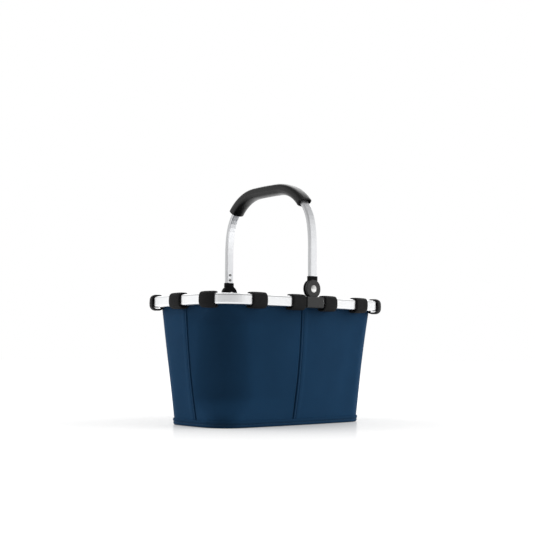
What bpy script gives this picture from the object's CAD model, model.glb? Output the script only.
"""Small carry basket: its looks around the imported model.

Lengths in the shape code are millimetres; add_piece turns them into metres. +X runs along
the basket, the front is -Y, +Z is up, and z = 0 is the floor.
"""

import math

import bpy
import numpy as np
from mathutils import Matrix, Vector


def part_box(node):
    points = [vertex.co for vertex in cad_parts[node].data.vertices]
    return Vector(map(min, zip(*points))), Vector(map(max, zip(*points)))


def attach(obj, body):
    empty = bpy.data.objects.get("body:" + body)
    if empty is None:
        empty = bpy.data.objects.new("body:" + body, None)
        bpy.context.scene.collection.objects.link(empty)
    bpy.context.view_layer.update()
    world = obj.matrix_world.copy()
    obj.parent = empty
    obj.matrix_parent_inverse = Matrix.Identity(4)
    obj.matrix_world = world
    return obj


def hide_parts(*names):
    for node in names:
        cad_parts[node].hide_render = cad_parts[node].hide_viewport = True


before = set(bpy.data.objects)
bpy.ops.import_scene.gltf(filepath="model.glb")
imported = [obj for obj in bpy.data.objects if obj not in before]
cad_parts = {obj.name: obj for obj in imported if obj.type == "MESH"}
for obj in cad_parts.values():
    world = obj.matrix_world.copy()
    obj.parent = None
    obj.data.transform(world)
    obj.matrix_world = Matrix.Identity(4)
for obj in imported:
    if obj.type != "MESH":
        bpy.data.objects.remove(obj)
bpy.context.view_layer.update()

scene = bpy.context.scene
MM = 0.001


def box_mm(node):
    """Lowest and highest corner of a CAD node, in millimetres."""
    low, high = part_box(node)
    return np.array(low) / MM, np.array(high) / MM


rim_low, rim_high = box_mm("rim_left_half")
wall_box_low, wall_box_high = box_mm("bag_panel_front_left")
binding_low, binding_high = box_mm("top_hem")
_, tube_high = box_mm("handle_tube")
grip_low, grip_high = box_mm("handle_grip")
loop_low, loop_high = box_mm("strap_front_1")

# Plans are half length, half width, and the radii of the long sides, the ends and the corners.
RIM_PLAN = np.array([-rim_low[0], rim_high[1], 1900.0, 350.0, 45.0])
BASE_PLAN = np.array([138.0, 68.0, 1780.0, 710.0, 38.0])
BAG_INSET = 13.6  # from the rim's outer face in to the bag at its top
CLOTH_T = 1.6
WALL_LOW = wall_box_low[2]
WALL_TOP = wall_box_high[2]

# ---------------------------------------------------------------- plan outlines

END_STEPS = 16  # straight steps along half of an end


def outline(plan):
    """Length along a closed plan outline, its points and its outward normals.

    It runs anticlockwise from the middle of the +X end.
    """
    half_l, half_w, long_r, end_r, corner_r = plan
    end_c = np.array([half_l - end_r, 0.0])
    long_c = np.array([0.0, half_w - long_r])
    from_long = long_r - corner_r
    from_end = end_r - corner_r
    span = end_c - long_c
    d = np.hypot(*span)
    along = (from_long**2 - from_end**2 + d**2) / (2 * d)
    across = math.sqrt(from_long**2 - along**2)
    corner = long_c + along * span / d + across * np.array([span[1], -span[0]]) / d
    end_a = math.atan2(corner[1], corner[0] - end_c[0])
    long_a = math.atan2(corner[1] - long_c[1], corner[0])
    points, normals = [], []
    for centre, r, a0, a1, steps in (
        (end_c, end_r, 0.0, end_a, END_STEPS),
        (corner, corner_r, end_a, long_a, 40),
        (long_c, long_r, long_a, math.pi / 2, 24),
    ):
        a = a0 + (a1 - a0) * np.arange(steps) / steps
        direction = np.stack([np.cos(a), np.sin(a)], 1)
        points.append(centre + r * direction)
        normals.append(direction)
    points.append([[0.0, half_w]])
    normals.append([[0.0, 1.0]])
    quarter_p, quarter_n = np.concatenate(points), np.concatenate(normals)
    flip = np.array([-1.0, 1.0])
    half_p = np.concatenate([quarter_p, (quarter_p * flip)[-2::-1]])
    half_n = np.concatenate([quarter_n, (quarter_n * flip)[-2::-1]])
    whole_p = np.concatenate([half_p, -half_p[1:]])
    whole_n = np.concatenate([half_n, -half_n[1:]])
    steps = np.hypot(*np.diff(whole_p, axis=0).T)
    return np.concatenate([[0.0], np.cumsum(steps)]), whole_p, whole_n


def place(path, s):
    """Points and outward normals at lengths s along an outline."""
    length, points, normals = path
    s = np.mod(s, length[-1])
    p = np.stack([np.interp(s, length, points[:, k]) for k in (0, 1)], -1)
    n = np.stack([np.interp(s, length, normals[:, k]) for k in (0, 1)], -1)
    return p, n / np.linalg.norm(n, axis=-1, keepdims=True)


def bag_plan(z):
    """Outer plan of the bag's wall at height z."""
    share = (z - WALL_LOW) / (WALL_TOP - WALL_LOW)
    return BASE_PLAN + share * (RIM_PLAN - BAG_INSET - BASE_PLAN)


# A seam's bow: how far it lies from the middle of its side where it comes nearest, the height
# of that place, and how much further off it is at a given distance above or below.
END_BOW = (3.8, 115.0, 7.5, 100.0)
LONG_BOW = (6.4, 102.0, 6.2, 90.0)
SEAM_FOOT = 8.0  # the seams run straight down below this height


def seam_shift(index, z):
    """How far a seam lies past the middle of its side at height z, going anticlockwise.

    The seams count 0 right, 1 rear, 2 left and 3 front. The two plain panels are cut with
    bowed edges, so that the seams bow too.
    """
    least, middle, rise, reach = LONG_BOW if index % 2 else END_BOW
    off = least + rise * ((max(z, SEAM_FOOT) - middle) / reach) ** 2
    return -off if index % 2 else off


HEM_TOP = 9.0
FREE_RISE = 32.0  # the cloth comes free of the hem over this height
FREE_UNTIL = 138.0
FREE_FALL = 26.0  # and the rim holds it again over this one
ROUNDER = 27.0  # added to the corner radius where the cloth hangs free


def free_cloth(z):
    """From 0 where the hem or the rim holds the cloth to 1 where it hangs free."""
    held_above = smooth_step((z - FREE_UNTIL) / FREE_FALL)
    return smooth_step((z - HEM_TOP) / FREE_RISE) * (1 - held_above)


def round_plan(z):
    """The wall's plan where a plain panel goes round a corner: it hangs rounder than the rim."""
    return bag_plan(z) + np.array([0.0, 0.0, 0.0, 0.0, ROUNDER * free_cloth(z)])


rim_path = outline(RIM_PLAN)
rim_total = rim_path[0][-1]


def rim_place_of_x(x, front):
    """Length along the rim of the point at x on its rear or front side."""
    swing = RIM_PLAN[2] * math.asin(x / RIM_PLAN[2])
    return rim_total * 3 / 4 + swing if front else rim_total / 4 - swing


LOOP_W = 24.0
LOOP_X = [-97.15, -28.5, 32.0, 97.15]  # the front loops' middles, from left to right
CORNER_LEAD = 5.0  # of two corner loops, the part that still lies on the rim's end
LEFT_START = 3.0  # from the start of the left rear corner to its loop
RIGHT_START = 25.0  # from the start of the right front corner to its loop
corner_place = rim_path[0][END_STEPS]  # where the end's arc meets the corner's arc
loops = {}
for number, x in enumerate(LOOP_X):
    loops[f"strap_front_{number + 1}"] = rim_place_of_x(x, True)
    loops[f"strap_rear_{4 - number}"] = rim_place_of_x(-x, False)
loops["strap_right_1"] = rim_total - (corner_place + RIGHT_START + LOOP_W / 2)
loops["strap_right_2"] = 0.0
loops["strap_right_3"] = corner_place - CORNER_LEAD + LOOP_W / 2
loops["strap_left_1"] = rim_total / 2 + loops["strap_right_3"]
loops["strap_left_2"] = rim_total / 2
loops["strap_left_3"] = rim_total / 2 - (corner_place + LEFT_START + LOOP_W / 2)

# ---------------------------------------------------------------- meshes


def add_piece(name, points, faces, materials, body, flat_coords=None, face_material=None):
    """A smooth mesh piece that rides on a body.

    flat_coords gives each point's place on the cloth, in millimetres.
    """
    mesh = bpy.data.meshes.new(name)
    mesh.from_pydata((np.asarray(points) * MM).tolist(), [], [list(map(int, f)) for f in faces])
    for material in materials:
        mesh.materials.append(material)
    mesh.polygons.foreach_set("use_smooth", [True] * len(mesh.polygons))
    if face_material is not None:
        mesh.polygons.foreach_set("material_index", face_material)
    if flat_coords is not None:
        layer = mesh.uv_layers.new(name="cloth")
        corner_points = np.zeros(len(mesh.loops), np.int32)
        mesh.loops.foreach_get("vertex_index", corner_points)
        layer.data.foreach_set("uv", (flat_coords[corner_points] * MM).astype(np.float32).ravel())
    mesh.update()
    piece = bpy.data.objects.new(name, mesh)
    scene.collection.objects.link(piece)
    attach(piece, body)
    return piece


def grid_faces(rows, cols, wrap_rows=False, wrap_cols=False, start=0, flip=False):
    """Four-sided faces of a grid of points, stored row by row."""
    r = np.arange(rows if wrap_rows else rows - 1)
    c = np.arange(cols if wrap_cols else cols - 1)
    r, c = [g.ravel() for g in np.meshgrid(r, c, indexing="ij")]
    r1, c1 = (r + 1) % rows, (c + 1) % cols
    quads = np.stack([r * cols + c, r * cols + c1, r1 * cols + c1, r1 * cols + c], 1) + start
    return quads[:, ::-1] if flip else quads


def slab(outer, inner):
    """Closed mesh between two grids of the same size: points, faces, and the outer faces' count."""
    rows, cols = outer.shape[:2]
    n = rows * cols
    points = np.concatenate([outer.reshape(-1, 3), inner.reshape(-1, 3)])
    front = grid_faces(rows, cols)
    back = grid_faces(rows, cols, start=n, flip=True)
    border = np.concatenate(
        [
            np.arange(cols),
            np.arange(2, rows + 1) * cols - 1,
            np.arange(rows * cols - 2, (rows - 1) * cols - 1, -1),
            np.arange(rows - 2, 0, -1) * cols,
        ]
    )
    after = np.roll(border, -1)
    sides = np.stack([after, border, border + n, after + n], 1)
    return points, np.concatenate([front, back, sides]), len(front)


def capped_tube(grid):
    """Closed mesh of a grid whose columns wrap, with its two ends closed by fans."""
    rows, cols = grid.shape[:2]
    points = np.concatenate([grid.reshape(-1, 3), [grid[0].mean(0)], [grid[-1].mean(0)]])
    sides = grid_faces(rows, cols, wrap_cols=True)
    j = np.arange(cols)
    k = (j + 1) % cols
    first = np.stack([k, j, np.full(cols, rows * cols)], 1)
    last_row = (rows - 1) * cols
    last = np.stack([last_row + j, last_row + k, np.full(cols, rows * cols + 1)], 1)
    return points, [*sides.tolist(), *first.tolist(), *last.tolist()]


def smooth_step(x):
    x = np.clip(x, 0.0, 1.0)
    return x * x * (3 - 2 * x)


def bump(x, centre, width):
    return np.exp(-(((x - centre) / width) ** 2))


# ---------------------------------------------------------------- materials


def linear(hex_colour):
    """An sRGB hex colour as linear RGBA."""
    parts = [int(hex_colour[i : i + 2], 16) / 255 for i in (1, 3, 5)]
    return (*[c / 12.92 if c <= 0.04045 else ((c + 0.055) / 1.055) ** 2.4 for c in parts], 1.0)


def add_node(tree, kind, inputs=None, **settings):
    """Adds a node with its settings, and gives each input a value or another node's output."""
    made = tree.nodes.new(kind)
    for name, value in settings.items():
        setattr(made, name, value)
    for name, value in (inputs or {}).items():
        if isinstance(value, bpy.types.NodeSocket):
            tree.links.new(value, made.inputs[name])
        else:
            made.inputs[name].default_value = value
    return made


def calculate(tree, operation, a, b=0.0):
    """What a maths node makes of two values."""
    return add_node(tree, "ShaderNodeMath", {0: a, 1: b}, operation=operation).outputs["Value"]


def blend(tree, share, a, b):
    """A value between a and b."""
    return add_node(
        tree, "ShaderNodeMix", {"Factor": share, "A": a, "B": b}, data_type="FLOAT"
    ).outputs["Result"]


def blend_colours(tree, share, dark, light):
    """A colour between two sRGB hex colours."""
    inputs = {"Factor": share, 6: linear(dark), 7: linear(light)}
    return add_node(tree, "ShaderNodeMix", inputs, data_type="RGBA").outputs[2]


def dim(tree, colour, tone):
    """A colour times a tone."""
    return add_node(
        tree, "ShaderNodeVectorMath", {0: colour, "Scale": tone}, operation="SCALE"
    ).outputs["Vector"]


def remap(tree, value, start, end, low, high, kind="LINEAR"):
    """Turns a value from start to end into one from low to high, and goes no further."""
    inputs = {"Value": value, "From Min": start, "From Max": end, "To Min": low, "To Max": high}
    return add_node(
        tree, "ShaderNodeMapRange", inputs, interpolation_type=kind
    ).outputs["Result"]


def noise(tree, place_on, size_mm, detail, roughness):
    """A cloudy pattern with spots of about one size."""
    scale = 1 / (size_mm * MM)
    inputs = {"Vector": place_on, "Scale": scale, "Detail": detail, "Roughness": roughness}
    return add_node(tree, "ShaderNodeTexNoise", inputs).outputs["Fac"]


def relief(tree, height, depth_mm, strength, below=None):
    """A normal with a pattern in relief, which can lie on another one."""
    inputs = {"Height": height, "Distance": depth_mm * MM, "Strength": strength}
    if below is not None:
        inputs["Normal"] = below
    return add_node(tree, "ShaderNodeBump", inputs).outputs["Normal"]


def new_material(name):
    """An empty node material and its output node."""
    material = bpy.data.materials.new(name)
    material.use_nodes = True
    tree = material.node_tree
    tree.nodes.clear()
    return material, tree, add_node(tree, "ShaderNodeOutputMaterial")


def finish_material(tree, output, colour, roughness, normal, **plain):
    """The shader: patterned colour, roughness and normal, and plain values on its own sockets."""
    inputs = {"Base Color": colour, "Roughness": roughness, "Normal": normal}
    inputs.update({name.replace("_", " "): value for name, value in plain.items()})
    shader = add_node(tree, "ShaderNodeBsdfPrincipled", inputs)
    tree.links.new(shader.outputs["BSDF"], output.inputs["Surface"])


DYE_PATCH_MM = 55.0  # slow changes in the depth of the dye
FIBRE_MM = 1.2
FIBRE_RELIEF_MM = 0.04
FLECK = 0.07  # how much single fibres differ in tone
FIBRE_ROUGH = 0.08  # and in roughness


def woven(name, warp, weft, pitch_mm, tone, rough, depth_mm, **plain):
    """A plain weave laid along the cloth's own width and length.

    The crossing threads alternate as on a checker board. tone mixes in a slow change of depth
    of colour, as dyed cloth has.
    """
    material, tree, output = new_material(name)
    flat = add_node(tree, "ShaderNodeUVMap", uv_map="cloth").outputs["UV"]
    two_threads = 2 * pitch_mm * MM
    band = 2 * math.pi / 20 / two_threads  # a wave texture repeats every 2 pi / 20 / scale
    waves = {"Vector": flat, "Scale": band, "Distortion": 0.0}
    up, over = [
        add_node(
            tree, "ShaderNodeTexWave", waves, bands_direction=direction, wave_profile="SIN"
        ).outputs["Fac"]
        for direction in ("X", "Y")
    ]
    square = add_node(
        tree, "ShaderNodeTexChecker", {"Vector": flat, "Scale": 1 / two_threads}
    ).outputs["Fac"]
    thread = blend(tree, square, up, over)
    place_on = add_node(tree, "ShaderNodeTexCoord").outputs["Object"]
    slow = noise(tree, place_on, DYE_PATCH_MM, 2.0, 0.5)
    fibre = noise(tree, place_on, FIBRE_MM, 2.0, 0.6)
    shade = remap(tree, slow, 0.3, 0.7, 1 - tone, 1 + tone)
    fleck = remap(tree, fibre, 0.2, 0.8, 1 - FLECK, 1 + FLECK)
    depth = calculate(tree, "MULTIPLY", shade, fleck)
    dyed = dim(tree, blend_colours(tree, thread, warp, weft), depth)
    worn = remap(tree, fibre, 0.0, 1.0, rough - FIBRE_ROUGH, rough + FIBRE_ROUGH)
    threads = relief(tree, thread, depth_mm, 0.6)
    fibres = relief(tree, fibre, FIBRE_RELIEF_MM, 0.5, below=threads)
    finish_material(tree, output, dyed, worn, fibres, **plain)
    return material


MOTTLE = (0.7, 1.3)  # nearly all of the grain and the slow change added up lies between these
# How far a face looks along the basket as its tone goes from full to least.
NARROW_FACE = (0.35, 0.8)


def solid(
    name, dark, light, grain_mm, rough, rough_spread, depth_mm,
    slow_mm=40.0, narrow_tone=1.0, **plain,
):
    """A cast, moulded or drawn finish: a fine grain and a slow change of tone, by place.

    narrow_tone is the tone of the faces that look along the basket's length.
    """
    material, tree, output = new_material(name)
    place_on = add_node(tree, "ShaderNodeTexCoord").outputs["Object"]
    grain = noise(tree, place_on, grain_mm, 3.0, 0.6)
    slow = noise(tree, place_on, slow_mm, 2.0, 0.5)
    mottle = calculate(tree, "ADD", grain, slow)
    colour = blend_colours(tree, remap(tree, mottle, *MOTTLE, 0.0, 1.0), dark, light)
    if narrow_tone < 1.0:
        faces = add_node(tree, "ShaderNodeTexCoord").outputs["Normal"]
        sideways = add_node(tree, "ShaderNodeSeparateXYZ", {"Vector": faces}).outputs["X"]
        sideways = calculate(tree, "ABSOLUTE", sideways)
        colour = dim(tree, colour, remap(tree, sideways, *NARROW_FACE, 1.0, narrow_tone))
    roughness = remap(tree, mottle, *MOTTLE, rough - rough_spread, rough + rough_spread)
    finish_material(tree, output, colour, roughness, relief(tree, grain, depth_mm, 0.5), **plain)
    return material


# Polyester oxford cloth: dyed navy, soft and matt, with a faint bloom where it turns away.
navy_oxford = woven(
    "navy_polyester_oxford", "#1F4466", "#1A3B58", 0.7, 0.05, 0.74, 0.12,
    Specular_IOR_Level=0.1, Sheen_Weight=0.03, Sheen_Roughness=0.5, Sheen_Tint=linear("#7E93AE"),
)
# The same cloth's coated back: a little darker and smoother.
coated_back = woven(
    "coated_cloth_back", "#18324B", "#142A41", 0.7, 0.05, 0.55, 0.06,
    Specular_IOR_Level=0.3,
)
# Folded binding and hem cloth: a shade deeper than the walls, in a closer weave.
navy_binding = woven(
    "navy_binding_cloth", "#1D3F5E", "#183651", 0.55, 0.05, 0.76, 0.1,
    Specular_IOR_Level=0.1, Sheen_Weight=0.03, Sheen_Roughness=0.5, Sheen_Tint=linear("#7E93AE"),
)
# Polyester webbing: black and close woven, with a dull gloss.
black_webbing = woven(
    "black_polyester_webbing", "#222223", "#191919", 0.6, 0.08, 0.7, 0.14,
    Specular_IOR_Level=0.15, Sheen_Weight=0.02, Sheen_Roughness=0.4, Sheen_Tint=linear("#9A9A9A"),
)
# Bonded polyester thread: smooth and slightly glossy.
navy_thread = solid("bonded_navy_thread", "#152C45", "#1F4263", 0.5, 0.5, 0.08, 0.03)
black_thread = solid("bonded_black_thread", "#161616", "#2A2A2A", 0.5, 0.5, 0.08, 0.03)
# Anodised aluminium, satin etched before anodising: pale, with a soft even glow and no streaks.
satin_aluminium = solid(
    "satin_anodised_aluminium", "#F0F1F2", "#F8F9FA", 0.25, 0.32, 0.05, 0.015, 60.0,
    Metallic=1.0,
)
# The handle's tube: the same metal, a little duller, with its narrow sides drawn greyer.
handle_aluminium = solid(
    "satin_anodised_handle_tube", "#EBECEE", "#F3F4F6", 0.25, 0.38, 0.04, 0.012, 60.0,
    narrow_tone=0.64, Metallic=1.0,
)
# Glass-filled nylon, moulded in a fine spark-eroded mould: dark grey, matt, a dry even grain.
moulded_nylon = solid(
    "moulded_black_nylon", "#2D2D2D", "#373737", 0.45, 0.5, 0.07, 0.06,
    Specular_IOR_Level=0.3,
)
# Acetal knuckles and washers: blacker and duller than the bracket.
moulded_acetal = solid(
    "moulded_black_acetal", "#121212", "#191919", 0.45, 0.55, 0.06, 0.04,
    Specular_IOR_Level=0.03,
)
# Closed-cell foam sleeve with its moulded skin: near black, with a low gloss.
skinned_foam = solid(
    "skinned_foam_rubber", "#151515", "#1D1D1D", 0.6, 0.3, 0.05, 0.06,
    Specular_IOR_Level=0.3,
)
# Nickel-plated steel pivots: a shade darker than the aluminium, and tighter in gloss.
plated_steel = solid(
    "nickel_plated_steel", "#D4D4D2", "#E8E8E6", 0.3, 0.26, 0.05, 0.01,
    Metallic=1.0,
)
# The legs' small blind rivets: plain steel, duller and darker than the pivots.
plain_steel = solid(
    "plain_steel_rivets", "#7C7C7B", "#929291", 0.3, 0.4, 0.06, 0.02,
    Metallic=1.0,
)
# Polypropylene board, rolled with a leather-like grain.
grained_board = solid("grained_polypropylene", "#151A20", "#222932", 1.4, 0.55, 0.08, 0.12)

# ---------------------------------------------------------------- rigid CAD pieces

SHARP_EDGE = math.radians(32)  # edges that turn more than this stay sharp

finishes = {
    satin_aluminium: ["rim_left_half", "rim_right_half"],
    handle_aluminium: ["handle_tube"],
    moulded_nylon: ["hinge_bracket_front", "hinge_bracket_rear"],
    moulded_acetal: [
        "handle_knuckle_front", "handle_knuckle_rear",
        "pivot_washer_front", "pivot_washer_rear",
    ],
    plated_steel: ["pivot_rivet_front", "pivot_rivet_rear"],
    plain_steel: ["leg_rivets_front", "leg_rivets_rear"],
    grained_board: ["base_board"],
}
for finish, names in finishes.items():
    for name in names:
        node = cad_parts[name]
        node.data.materials.clear()
        node.data.materials.append(finish)
        node.data.polygons.foreach_set("material_index", [0] * len(node.data.polygons))
        node.data.shade_smooth()
        node.data.set_sharp_from_angle(angle=SHARP_EDGE)

# ---------------------------------------------------------------- bag wall

FOLD_WAVES = 9
fold_numbers = np.random.default_rng(11).random((FOLD_WAVES, 4))
DRAWN_IN = 1.1  # how far the cloth is drawn in at mid height, and how much more towards +X
DRAWN_IN_MORE = 0.7
DRAWN_IN_POWER = 1.36  # puts the deepest place a little above mid height
FOLD_SIZE = 0.34
PULL = 0.55  # each loop pulls the cloth out by this much beside it
PULL_REACH = 13.0
PULL_DEPTH = 26.0  # the pull dies away below the rim over this height
PULL_BETWEEN = 0.25  # and between the loops the cloth falls back by this much


def slack(round_share, z, x):
    """How far the slack cloth stands out from the straight wall, in millimetres.

    round_share goes from 0 to 1 round the bag.
    """
    height = np.clip((z - WALL_LOW) / (WALL_TOP - WALL_LOW), 0.0, 1.0)
    deepest = DRAWN_IN + DRAWN_IN_MORE * x / RIM_PLAN[0]
    drawn_in = -deepest * np.sin(np.pi * height**DRAWN_IN_POWER)
    folds = np.zeros_like(drawn_in)
    for a, b, c, d in fold_numbers:
        count = round(5 + 16 * a)
        size = FOLD_SIZE * (1.2 - a)
        lean = 0.9 * (b - 0.5)
        wave = np.sin(2 * np.pi * (count * round_share + c + lean * height))
        uneven = 0.55 + 0.45 * np.sin(np.pi * (2 * height * d + b))
        folds += size * wave * np.sin(np.pi * height) * uneven
    pulls = np.zeros_like(drawn_in)
    for where in loops.values():
        away = (round_share - where / rim_total + 0.5) % 1.0 - 0.5
        pulls += PULL * bump(away * rim_total, 0.0, PULL_REACH)
    pulls = (pulls - PULL_BETWEEN) * np.exp(-(WALL_TOP - z) / PULL_DEPTH)
    return drawn_in + folds + pulls


def bag_length(z):
    """Length of the bag's outline at height z."""
    return outline(bag_plan(z))[0][-1]


SLACK_FROM = 20.0  # bands and lines below this height follow the hem, not the slack cloth


def on_wall(z, share, shift, out, slack_too=True):
    """Points and outward normals on the wall at one height, moved out from its face.

    They lie at a share of the way round plus a shift in millimetres.
    """
    path = outline(bag_plan(z))
    total = path[0][-1]
    s = share * total + shift
    p, n = place(path, s)
    if slack_too:
        out = out + slack(np.mod(s / total, 1.0), np.full(len(s), z), p[:, 0])
    level = np.full((len(s), 1), z)
    across = np.broadcast_to(out, len(s))[:, None] * n
    return np.hstack([p + across, level]), np.hstack([n, 0 * level])


SEAM_DEPTH = 1.2  # how deep the cloth turns in at a seam
STITCH_LINE = 3.8  # from a seam to its row of stitches


def plain_edge(d):
    """The plain panel turns in sharply at the seam."""
    return -SEAM_DEPTH * bump(d, 0.0, 0.95)


def stitched_edge(d, z):
    """The other panel is folded back on itself: a low ridge, a stitched groove and a swell."""
    edge = -SEAM_DEPTH * bump(d, 0.0, 0.42)
    ridge = 0.62 * smooth_step((d - 0.35) / 0.6) * (1 - smooth_step((d - 2.9) / 0.8))
    groove = -0.45 * bump(d, STITCH_LINE, 0.55)
    allowance = 0.3 * smooth_step((d - 4.2) / 1.4) * (1 - smooth_step((d - 10.3) / 1.1))
    pucker = 0.09 * np.sin(2 * np.pi * z / 6.4 + 1.7 * np.sin(z / 31.0)) * bump(d, 2.4, 3.4)
    return edge + ridge + groove + allowance + pucker


# Distances from a seam of the first points along a row, closest where the cloth is folded.
EDGE_STEPS = [0.0, 0.25, 0.5, 0.8, 1.15, 1.6, 2.1, 2.6, 3.05, 3.45, 3.8, 4.15, 4.6, 5.3, 6.3]
EDGE_STEPS += [7.6, 9.0, 10.2, 10.9, 11.8, 13.2]
WALL_STEPS = 84  # rows up the wall, and points along a row between its two edges
wall_heights = np.concatenate(
    [[WALL_LOW], np.linspace(3.0, 172.0, WALL_STEPS), [WALL_TOP - 2.0, WALL_TOP]]
)
SAG = 6.5  # how far a plain panel falls in where it goes round a corner
SAG_LENGTH = 190.0


def seam_pair(plan, z, first, last):
    """The outline and its length, and where a panel's two seams lie on it."""
    path = outline(plan)
    total = path[0][-1]
    start = first / 4 * total + seam_shift(first, z)
    end = last / 4 * total + seam_shift(last, z)
    return path, total, start, end + (total if last < first else 0.0)


def wall_rows(first, last, columns, plan_at):
    """Points, normals, distances from both seams and shares round the bag, row by row.

    columns gives where a row's points lie, for its length.
    """
    rows = []
    for z in wall_heights:
        _, total, start, end = seam_pair(bag_plan(z), z, first, last)
        first_share, last_share = start / total, end / total
        path, total, start, end = seam_pair(plan_at(z), z, first, last)
        d = columns(end - start)
        p, n = place(path, start + d)
        share = first_share + (last_share - first_share) * d / (end - start)
        rows.append((p, n, d, end - start - d, np.mod(share, 1.0)))
    return [np.array(part) for part in zip(*rows)]


def add_wall(name, node, first, last, stitched):
    """One panel of the bag between two seams, as a closed sheet, and its top and low widths."""

    def columns(length):
        middle = np.linspace(EDGE_STEPS[-1], length - EDGE_STEPS[-1], WALL_STEPS)[1:-1]
        return np.concatenate([EDGE_STEPS, middle, length - np.array(EDGE_STEPS[::-1])])

    p, n, d, e, round_share = wall_rows(first, last, columns, bag_plan if stitched else round_plan)
    z = np.repeat(wall_heights[:, None], d.shape[1], 1)
    swell = slack(round_share, z, p[..., 0])
    if stitched:
        seams = stitched_edge(d, z) + stitched_edge(e, z)
    else:
        way = np.clip(d / SAG_LENGTH, 0.0, 1.0)
        sag = 27 / 4 * way * (1 - way) ** 2  # 1 at its deepest, a third of the way along
        swell = swell - SAG * sag * free_cloth(z)
        seams = plain_edge(d) + plain_edge(e)
    out = (swell + seams)[..., None] * n
    outer = np.concatenate([p + out, z[..., None]], 2)
    inner = np.concatenate([p + (swell - CLOTH_T)[..., None] * n, z[..., None]], 2)
    points, faces, front = slab(outer, inner)
    flat = np.stack([d.ravel(), z.ravel()], 1)
    piece = add_piece(
        name, points, faces, [navy_oxford, coated_back], "basket",
        np.concatenate([flat, flat]),
        [0 if i < front else 1 for i in range(len(faces))],
    )
    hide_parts(node)
    return piece, d[-1, -1], d[0, -1]


for name, first, last, stitched in (
    ("rear_right", 0, 1, False),
    ("rear_left", 1, 2, True),
    ("front_left", 2, 3, False),
    ("front_right", 3, 0, True),
):
    add_wall(f"bag_wall_{name}", f"bag_panel_{name}", first, last, stitched)

# ---------------------------------------------------------------- bands round the bag


BAND_STEPS = 420
RIPPLES = 118  # round the bag, crowded and spread out again seven times


def add_band(name, node, profile, ripple, material):
    """A closed ring round the bag. profile lists (out from the wall's face, height)."""
    profile = np.array(profile)
    grid = np.zeros((BAND_STEPS, len(profile), 3))
    flat = np.zeros((BAND_STEPS, len(profile), 2))
    flat[..., 1] = np.concatenate([[0], np.cumsum(np.hypot(*np.diff(profile, axis=0).T))])
    shares = np.arange(BAND_STEPS) / BAND_STEPS
    wave = ripple * np.sin(2 * np.pi * RIPPLES * shares + 2.0 * np.sin(2 * np.pi * 7 * shares))
    for k, (out, z) in enumerate(profile):
        grid[:, k], _ = on_wall(z, shares, 0.0, out + wave * abs(out), z > SLACK_FROM)
        flat[:, k, 0] = shares * bag_length(z)
    faces = grid_faces(BAND_STEPS, len(profile), wrap_rows=True, wrap_cols=True)
    piece = add_piece(
        name, grid.reshape(-1, 3), faces, [material], "basket", flat.reshape(-1, 2)
    )
    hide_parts(node)
    return piece


hem_profile = [
    (0.02, 0.05), (0.6, 0.0), (1.15, 0.3), (1.6, 0.9), (1.88, 1.7), (1.9, 2.5), (1.7, 3.3),
    (1.3, 3.85), (1.12, 4.15), (1.3, 4.5), (1.62, 5.0), (1.85, 5.7), (1.92, 6.6), (1.85, 7.5),
    (1.6, 8.3), (1.15, 8.85), (0.55, 9.0), (0.02, 8.7), (-0.3, 6.0), (-0.3, 2.0),
]
base_hem = add_band("base_hem_roll", "base_hem", hem_profile, 0.05, navy_binding)
b_top = binding_high[2]
b_low = binding_low[2]
binding_profile = [
    (-0.1, WALL_TOP + 0.1), (-0.3, b_top - 0.3), (-0.9, b_top - 0.02), (-1.7, b_top - 0.02),
    (-2.3, b_top - 0.35), (-2.55, b_top - 1.2), (-2.6, b_top - 4.0), (-2.6, b_low + 5.0),
    (-2.58, b_low + 2.6), (-2.35, b_low + 1.9), (-2.3, b_low + 1.6), (-2.36, b_low + 1.3),
    (-2.55, b_low + 0.7), (-2.3, b_low + 0.1), (-1.9, b_low), (-1.62, b_low + 0.3),
    (-1.62, WALL_TOP - 1.0), (-1.5, WALL_TOP + 0.05),
]
top_binding = add_band("top_binding", "top_hem", binding_profile, 0.012, navy_binding)

# ---------------------------------------------------------------- seam tapes inside

TAPE_STEPS = 60
TAPE_EDGE = 2.9  # from a tape's middle to each row of its stitches
# A tape's section: along the wall, and out from the wall's outer face.
tape_section = np.array(
    [(-4.0, -1.62), (-4.0, -2.1), (-3.6, -2.38), (-2.9, -2.3), (-2.0, -2.4), (0.0, -2.36),
     (2.0, -2.4), (2.9, -2.3), (3.6, -2.38), (4.0, -2.1), (4.0, -1.62), (0.0, -1.62)]
)
for index, side in enumerate(["right", "rear", "left", "front"]):
    tape_low, tape_high = box_mm(f"seam_tape_{side}")
    heights = np.linspace(tape_low[2] + 0.1, tape_high[2] - 0.1, TAPE_STEPS)
    along, out = tape_section.T
    grid = np.array([on_wall(z, index / 4, seam_shift(index, z) + along, out)[0] for z in heights])
    points, faces = capped_tube(grid)
    flat = [(a, z) for z in heights for a in along] + [(0.0, heights[0]), (0.0, heights[-1])]
    tape = add_piece(
        f"seam_binding_{side}", points, faces, [navy_binding], "basket", np.array(flat)
    )
    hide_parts(f"seam_tape_{side}")

# ---------------------------------------------------------------- bottom cloth

BOTTOM_STEPS = 180
bottom_rings = np.array([1.0, 0.985, 0.96, 0.9, 0.8, 0.65, 0.5, 0.35, 0.2, 0.08])
bottom_path = outline(bag_plan(0.0) - 0.05)
bottom_shares = np.arange(BOTTOM_STEPS) / BOTTOM_STEPS
bottom_p, _ = place(bottom_path, bottom_shares * bottom_path[0][-1])
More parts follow.
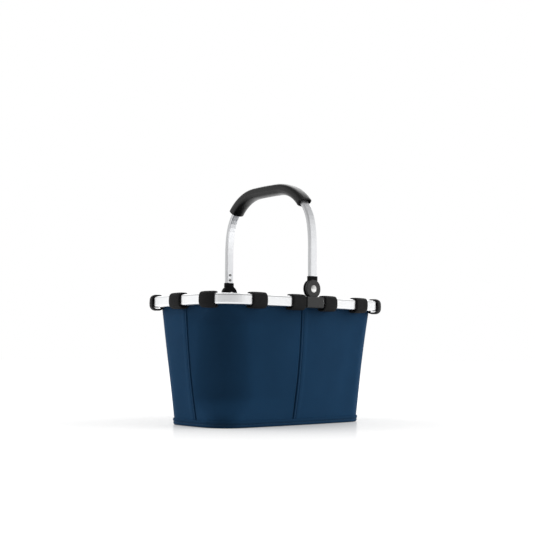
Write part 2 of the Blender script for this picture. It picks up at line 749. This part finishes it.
# The cloth stands 0.15 mm above the floor, in five waves 0.12 mm high.
lift = 0.15 + 0.12 * np.sin(np.pi * bottom_rings)[:, None] * np.sin(
    2 * np.pi * 5 * bottom_shares
)
low_grid = np.concatenate([bottom_rings[:, None, None] * bottom_p[None], lift[..., None]], 2)
high_grid = low_grid.copy()
high_grid[..., 2] = WALL_LOW - 0.05
grid = np.concatenate([high_grid[::-1], low_grid])
points, faces = capped_tube(grid)
bottom = add_piece(
    "bag_bottom", points, faces, [navy_oxford], "basket", points[:, :2].copy()
)
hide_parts("bottom_panel")

# ---------------------------------------------------------------- webbing loops


def rounded_path(corners, steps, spacing):
    """Points round a closed polygon of (x, z, corner radius), evenly spread."""
    made = []
    radii = [r for _, _, r in corners]
    corners = np.array([corner[:2] for corner in corners], float)
    for i, (c, r) in enumerate(zip(corners, radii)):
        before = corners[i - 1] - c
        after = corners[(i + 1) % len(corners)] - c
        before /= np.linalg.norm(before)
        after /= np.linalg.norm(after)
        half = math.acos(float(np.clip(before @ after, -1, 1))) / 2
        reach = r / math.tan(half)
        middle = (before + after) / np.linalg.norm(before + after)
        centre = c + middle * r / math.sin(half)
        a, b = c + before * reach - centre, c + after * reach - centre
        turn = math.atan2(a[0] * b[1] - a[1] * b[0], a @ b)
        for k in range(steps + 1):
            t = turn * k / steps
            made.append(centre + [a[0] * math.cos(t) - a[1] * math.sin(t),
                                  a[0] * math.sin(t) + a[1] * math.cos(t)])
    made = np.array(made)
    closed = np.concatenate([made, made[:1]])
    length = np.concatenate([[0], np.cumsum(np.hypot(*np.diff(closed, axis=0).T))])
    count = int(round(length[-1] / spacing))
    s = np.arange(count) / count * length[-1]
    return np.stack([np.interp(s, length, closed[:, k]) for k in (0, 1)], 1)


LOOP_T = 2.2
LOOP_SPACING = 0.85
half_t = LOOP_T / 2
bag_lean = (RIM_PLAN[0] - BAG_INSET - BASE_PLAN[0]) / (WALL_TOP - WALL_LOW)
loop_bottom = loop_low[2] + half_t
loop_top = loop_high[2] - half_t
# Corners of a loop's centreline: in from the rim's outer face, the height, and the radius. The
# outer side bulges a little at mid height.
loop_corners = [
    (-half_t - 0.35, loop_top, 5.6),
    (-half_t - 1.15, (loop_top + loop_bottom) / 2, 40.0),
    (-half_t - 0.35, loop_bottom, 6.8),
    (BAG_INSET + bag_lean * (WALL_TOP - loop_bottom) - half_t - 0.3, loop_bottom, 2.9),
    (BAG_INSET - half_t - 0.2, WALL_TOP, 2.9),
    (BAG_INSET - half_t - 0.2, loop_top, 2.9),
]
loop_path = rounded_path(loop_corners, 6, LOOP_SPACING)
loop_step = np.roll(loop_path, -1, 0) - np.roll(loop_path, 1, 0)
loop_step /= np.linalg.norm(loop_step, axis=1, keepdims=True)
loop_out = np.stack([-loop_step[:, 1], loop_step[:, 0]], 1)
if ((loop_path - loop_path.mean(0)) * loop_out).sum() < 0:
    loop_out = -loop_out
# Section of the webbing: across its width, and out from its middle. Its face is a little crowned.
band_section = []
for side in (1, -1):
    for w in np.linspace(-1, 1, 11):
        band_section.append((w * (LOOP_W / 2 - 0.9) * side, side * (half_t - 0.12 * w * w)))
    band_section.append((side * (LOOP_W / 2 - 0.25), side * half_t * 0.55))
    band_section.append((side * LOOP_W / 2, 0.0))
    band_section.append((side * (LOOP_W / 2 - 0.25), -side * half_t * 0.55))
band_section = np.array(band_section)


def add_loop(name, where, wobble):
    """One webbing loop round the rim, centred on a place along the rim.

    Its edges curl, and wobble makes each loop a little different.
    """
    count = len(loop_path)
    s_round = np.arange(count) / count
    w = band_section[:, 0][None, :]
    h = band_section[:, 1][None, :]
    edge = (2 * w / LOOP_W) ** 2
    soft = 0.12 * np.sin(2 * np.pi * (2 * s_round + wobble))[:, None]
    curl = -0.22 * edge**2 + soft * (w / LOOP_W)
    x = loop_path[:, 0:1] + (h + curl) * loop_out[:, 0:1]
    z = loop_path[:, 1:2] + (h + curl) * loop_out[:, 1:2]
    skew = 0.25 * np.sin(2 * np.pi * (s_round + wobble * 3))[:, None]
    p, n = place(rim_path, where + w + skew)
    xy = p - x[..., None] * n
    grid = np.concatenate([xy, z[..., None]], 2)
    faces = grid_faces(count, len(band_section), wrap_rows=True, wrap_cols=True)
    length = np.arange(count) * LOOP_SPACING
    flat = np.stack(
        [np.broadcast_to(w, x.shape), np.broadcast_to(length[:, None], x.shape)], 2
    )
    loop = add_piece(
        f"webbing_{name[6:]}", grid.reshape(-1, 3), faces, [black_webbing], "basket",
        flat.reshape(-1, 2),
    )
    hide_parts(name)
    return loop


for number, (name, where) in enumerate(sorted(loops.items())):
    add_loop(name, where, number * 0.37)

# ---------------------------------------------------------------- soft grip

# The handle's centreline in the plane of its legs: a straight leg, a slight bend, a shoulder
# and a nearly straight top. The grip runs from shoulder to shoulder.
HANDLE_T = 6.0
LEG_Y = tube_high[1] - HANDLE_T / 2
PIVOT_Z = 190.0
LEG_STRAIGHT = 61.2
BEND_R = 184.0
SHOULDER_R = 69.0
bend_angle = math.radians(9.4)
top_angle = math.radians(1.9)
grip_angle = math.radians(39.5)  # where the grip ends on the shoulder
bend_centre = np.array([LEG_Y - BEND_R, PIVOT_Z + LEG_STRAIGHT])
bend_way = np.array([math.cos(bend_angle), math.sin(bend_angle)])
shoulder = bend_centre + (BEND_R - SHOULDER_R) * bend_way
top_start = shoulder + SHOULDER_R * np.array([math.sin(top_angle), math.cos(top_angle)])
top_r = top_start[0] / math.sin(top_angle)
top_centre = np.array([0.0, top_start[1] - top_r * math.cos(top_angle)])

half_route = []
for centre, r, a0, a1, steps in (
    (top_centre, top_r, math.pi / 2, math.pi / 2 - top_angle, 6),
    (shoulder, SHOULDER_R, math.pi / 2 - top_angle, grip_angle, 44),
):
    for k in range(steps + 1):
        a = a0 + (a1 - a0) * k / steps
        if half_route and k == 0:
            continue
        half_route.append((*(centre + r * np.array([math.cos(a), math.sin(a)])), a))
route = [(-y, z, math.pi - a) for y, z, a in half_route[:0:-1]] + half_route
route = np.array(route)
route_len = np.concatenate([[0], np.cumsum(np.hypot(*np.diff(route[:, :2], axis=0).T))])


def oval(width, thickness, outer_power, inner_power, count=48):
    """Closed section between a rectangle and an ellipse, each half with its own power."""
    a = np.arange(count) / count * 2 * math.pi
    c, s = np.cos(a), np.sin(a)
    power = np.where(s > 0, outer_power, inner_power)
    across = width / 2 * np.sign(c) * np.abs(c) ** (2 / power)
    return np.stack([across, thickness / 2 * np.sign(s) * np.abs(s) ** (2 / power)], 1)


GRIP_W = grip_high[0] - grip_low[0]
GRIP_T = 16.0
LIP = 1.5
grip_total = route_len[-1]


def grip_section(cut):
    """The grip's section, cut back all round: flatter on its outer side than on its inner one."""
    return oval(GRIP_W - 2 * cut, GRIP_T - 2 * cut, 3.2, 2.2)


ends = []
for d in (0.0, 0.12, 0.45, 1.0, 1.8, 3.0):
    ends.append((d, 0.75 * (1 - math.sqrt(1 - (1 - min(d, 1.0)) ** 2))))
outer_run = ends + [(d, 0.0) for d in np.linspace(4.5, grip_total - 4.5, 86)]
outer_run += [(grip_total - d, cut) for d, cut in ends[::-1]]
rings = [(d, grip_section(cut)) for d, cut in outer_run]
hollow = oval(14.0, 6.5, 5.0, 5.0)
lip_cuts = ((0.0, 1.0), (0.12, 1.3), (0.6, LIP), (2.6, LIP + 0.2), (3.6, 3.0))
lip_run = [(d, grip_section(cut)) for d, cut in lip_cuts]
rings += [(grip_total - d, section) for d, section in lip_run]
rings += [(d, hollow) for d in np.linspace(grip_total - 4.2, 4.2, 80)]
rings += lip_run[::-1]
grip_rows = []
for d, section in rings:
    y = np.interp(d, route_len, route[:, 0])
    z = np.interp(d, route_len, route[:, 1])
    a = np.interp(d, route_len, route[:, 2])
    out = np.array([0.0, math.cos(a), math.sin(a)])
    wavy = np.array([1 + 0.004 * np.sin(d / 9.0), 0.0, 0.0])
    grip_rows.append(np.array([0.0, y, z]) + section[:, 0:1] * wavy + section[:, 1:2] * out)
grip_grid = np.array(grip_rows)
grip_faces = grid_faces(len(grip_grid), grip_grid.shape[1], wrap_rows=True, wrap_cols=True)
grip = add_piece("foam_grip", grip_grid.reshape(-1, 3), grip_faces, [skinned_foam], "handle")
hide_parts("handle_grip")

# ---------------------------------------------------------------- stitching


def add_stitches(name, rows, length, radius, material):
    """Rows of stitches as one piece. A row is points along the thread and outward normals."""
    a = np.arange(6) / 6 * 2 * math.pi
    rings = [(-0.5, 0.25), (-0.42, 0.75), (-0.15, 1.0), (0.15, 1.0), (0.42, 0.75), (0.5, 0.25)]
    all_points, all_faces = [], []
    start = 0
    for points, normals in rows:
        step = points[1:] - points[:-1]
        gap = np.linalg.norm(step, axis=1, keepdims=True)
        tangent = step / gap
        middle = (points[1:] + points[:-1]) / 2
        out = (normals[1:] + normals[:-1]) / 2
        out /= np.linalg.norm(out, axis=1, keepdims=True)
        side = np.cross(tangent, out)
        for c, t, o, b in zip(middle, tangent, out, side):
            grid = np.array(
                [
                    c + t * q * length + (o * math.sin(v) + b * math.cos(v)) * radius * r
                    for q, r in rings
                    for v in a
                ]
            ).reshape(len(rings), len(a), 3)
            p, f = capped_tube(grid)
            all_points.append(p)
            all_faces += [[i + start for i in face] for face in f]
            start += len(p)
    piece = add_piece(name, np.concatenate(all_points), all_faces, [material], "basket")
    return piece


STITCH_PITCH = 3.4
STITCH = 2.7
THREAD_R = 0.26
TACK = 1.9
INNER_FACE = -2.36  # the tapes' and the binding's inner face, from the wall's outer face
HEM_GROOVE = 4.15  # height of the hem's stitched groove


def wall_line(index, offset, out, z0, z1):
    """A line up the wall beside a seam, offset along the wall and out from its face."""
    heights = np.arange(z0, z1, STITCH_PITCH)
    made = [on_wall(z, index / 4, np.array([seam_shift(index, z) + offset]), out) for z in heights]
    return np.array([p[0] for p, _ in made]), np.array([n[0] for _, n in made])


def round_line(z, out):
    """A line round the bag at one height."""
    count = int(bag_length(z) / STITCH_PITCH)
    return on_wall(z, np.arange(count + 1) / count, 0.0, out, z > SLACK_FROM)


topstitch_rows = []
for index, offset in ((1, STITCH_LINE), (2, -STITCH_LINE), (3, STITCH_LINE), (0, -STITCH_LINE)):
    topstitch_rows.append(wall_line(index, offset, -0.3, 10.5, 160.0))
seam_stitches = add_stitches(
    "seam_topstitching", topstitch_rows, STITCH, THREAD_R, navy_thread
)
hem_stitches = add_stitches(
    "hem_stitching", [round_line(HEM_GROOVE, 1.2)], STITCH, THREAD_R, navy_thread
)
inner_rows = [round_line(b_low + 1.6, INNER_FACE)]
for index in range(4):
    for offset in (-TAPE_EDGE, TAPE_EDGE):
        inner_rows.append(wall_line(index, offset, INNER_FACE, 6.0, 162.0))
inner_stitches = add_stitches(
    "inner_stitching", [(p, -n) for p, n in inner_rows], STITCH, 0.24, navy_thread
)
tack_shifts = np.arange(-8.5, 8.6, 2.4)
tack_rows = []
for where in loops.values():
    for z in (WALL_TOP - 3.0, WALL_TOP - 8.5):
        p, n = on_wall(z, where / rim_total, tack_shifts, -2.62)
        tack_rows.append((p, -n))
add_stitches("loop_stitching", tack_rows, TACK, THREAD_R, black_thread)

# ---------------------------------------------------------------- sheets

# ---------------------------------------------------------------- floor, light and camera


def seen_white(tree, others, white):
    """A strength: white where the camera, gloss or clear pieces look, and another elsewhere."""
    rays = add_node(tree, "ShaderNodeLightPath")
    looks = rays.outputs["Is Camera Ray"]
    for name in ("Is Glossy Ray", "Is Transmission Ray"):
        looks = calculate(tree, "MAXIMUM", looks, rays.outputs[name])
    return blend(tree, looks, others, white)


def facing(tree, direction, side):
    """How much a direction faces a side."""
    return add_node(
        tree, "ShaderNodeVectorMath", {0: direction, 1: side}, operation="DOT_PRODUCT"
    ).outputs["Value"]


WHITE = (1, 1, 1, 1)
FLOOR = 12.0
floor_corners = [(-FLOOR, -FLOOR, 0), (FLOOR, -FLOOR, 0), (FLOOR, FLOOR, 0), (-FLOOR, FLOOR, 0)]
floor_mesh = bpy.data.meshes.new("floor")
floor_mesh.from_pydata(floor_corners, [], [(0, 1, 2, 3)])
floor = bpy.data.objects.new("floor", floor_mesh)
scene.collection.objects.link(floor)
floor.location.z = -0.0002

# Satin acrylic that gives back under half of the light. The camera sees it topped up to
# white, so that only the shadow and a faint mirror image show on it.
floor_material, tree, output = new_material("white_acrylic_floor")
from_middle = add_node(
    tree,
    "ShaderNodeVectorMath",
    {0: add_node(tree, "ShaderNodeTexCoord").outputs["Object"]},
    operation="LENGTH",
).outputs["Value"]
top_up = remap(tree, from_middle, 0.2, 1.1, 0.77, 1.0, "SMOOTHSTEP")
# Close to the basket less of the room's own light reaches the floor, and the polish shows: the
# mirror image is strongest at the base and has nearly gone 0.3 m away.
open_sky = add_node(
    tree, "ShaderNodeAmbientOcclusion", {"Distance": 0.3}, samples=12
).outputs["AO"]
polish = blend(tree, open_sky, 0.7, 0.03)
top_up = calculate(tree, "MULTIPLY", top_up, blend(tree, open_sky, 0.35, 1.0))
glow = add_node(
    tree, "ShaderNodeEmission", {"Color": WHITE, "Strength": seen_white(tree, 0.0, top_up)}
).outputs["Emission"]
paint = add_node(tree, "ShaderNodeBsdfDiffuse", {"Color": linear("#B4B4B4")}).outputs["BSDF"]
lit = add_node(tree, "ShaderNodeAddShader", {0: paint, 1: glow}).outputs["Shader"]
mirror = add_node(
    tree, "ShaderNodeBsdfGlossy", {"Color": WHITE, "Roughness": 0.14}
).outputs["BSDF"]
surface = add_node(
    tree, "ShaderNodeMixShader", {"Fac": polish, 1: lit, 2: mirror}
).outputs["Shader"]
tree.links.new(surface, output.inputs["Surface"])
floor_mesh.materials.append(floor_material)

world = bpy.data.worlds.new("white_studio")
scene.world = world
world.use_nodes = True
tree = world.node_tree
tree.nodes.clear()
# Gloss sees a white tent: it has an opening for the lens, which goes grey, and a dimmer top.
LENS_SIDE = Vector((-0.49, -0.872, 0.0))
around = add_node(tree, "ShaderNodeTexCoord").outputs["Generated"]
tent = remap(tree, facing(tree, around, LENS_SIDE), 0.25, 1.0, 1.0, 0.45, "SMOOTHSTEP")
up = add_node(tree, "ShaderNodeSeparateXYZ", {"Vector": around}).outputs["Z"]
dim_top = remap(tree, up, 0.2, 0.8, 1.0, 0.45, "SMOOTHSTEP")
tent = calculate(tree, "MULTIPLY", tent, dim_top)
# A strip light stands behind, high on the right. Only gloss sees it.
STRIP_SIDE = Vector((0.58, 0.55, 0.6))
strip = remap(tree, facing(tree, around, STRIP_SIDE), 0.84, 0.97, 0.0, 1.7, "SMOOTHSTEP")
tent = calculate(tree, "ADD", tent, strip)
# The camera and clear pieces see white, gloss the tent, and the rest an even low light.
ROOM_LIGHT = 0.24
rays = add_node(tree, "ShaderNodeLightPath")
bare = calculate(
    tree, "MAXIMUM", rays.outputs["Is Camera Ray"], rays.outputs["Is Transmission Ray"]
)
strength = blend(tree, rays.outputs["Is Glossy Ray"], ROOM_LIGHT, tent)
strength = blend(tree, bare, strength, 1.0)
back = add_node(
    tree, "ShaderNodeBackground", {"Color": WHITE, "Strength": strength}
).outputs["Background"]
add_node(tree, "ShaderNodeOutputWorld", {"Surface": back})


def add_softbox(name, place_at, aim, size, watts):
    """A lamp with a wide soft face, turned towards a point. Gloss doesn't see it."""
    lamp = bpy.data.lights.new(name, "AREA")
    lamp.shape = "RECTANGLE"
    lamp.size, lamp.size_y = size
    lamp.energy = watts
    box = bpy.data.objects.new(name, lamp)
    scene.collection.objects.link(box)
    box.location = place_at
    box.rotation_mode = "QUATERNION"
    box.rotation_quaternion = (Vector(aim) - Vector(place_at)).to_track_quat("-Z", "Y")
    box.visible_glossy = False


# Two large softboxes stand to the left and right of the lens, square to its line of sight.
centre = (0.0, 0.0, 0.12)
add_softbox("softbox_left", (-1.42, 1.56, 1.0), centre, (1.9, 2.2), 40)
add_softbox("softbox_right", (1.65, -1.32, 1.0), centre, (2.0, 2.2), 47)

camera = bpy.data.objects.new("camera", bpy.data.cameras.new("camera"))
scene.collection.objects.link(camera)
scene.camera = camera
camera.data.sensor_width = 36.0
camera.data.lens = 66.31
# The camera stands at this bearing from the basket, and is turned by small angles from there.
BEARING = math.radians(40.75)
DISTANCE = 1.448
HEIGHT = 0.0976
HEADING = BEARING - math.radians(0.07)
PITCH = math.radians(5.07)
ROLL = math.radians(0.32)
level = math.cos(PITCH)
forward = Vector((math.sin(HEADING) * level, math.cos(HEADING) * level, math.sin(PITCH)))
right = Vector((math.cos(HEADING), -math.sin(HEADING), 0.0))
upward = right.cross(forward)
right, upward = (
    right * math.cos(ROLL) + upward * math.sin(ROLL),
    upward * math.cos(ROLL) - right * math.sin(ROLL),
)
place_at = Vector((-math.sin(BEARING) * DISTANCE, -math.cos(BEARING) * DISTANCE, HEIGHT))
axes = Matrix((right, upward, -forward)).transposed()
camera.matrix_world = Matrix.Translation(place_at) @ axes.to_4x4()

scene.view_settings.view_transform = "Standard"
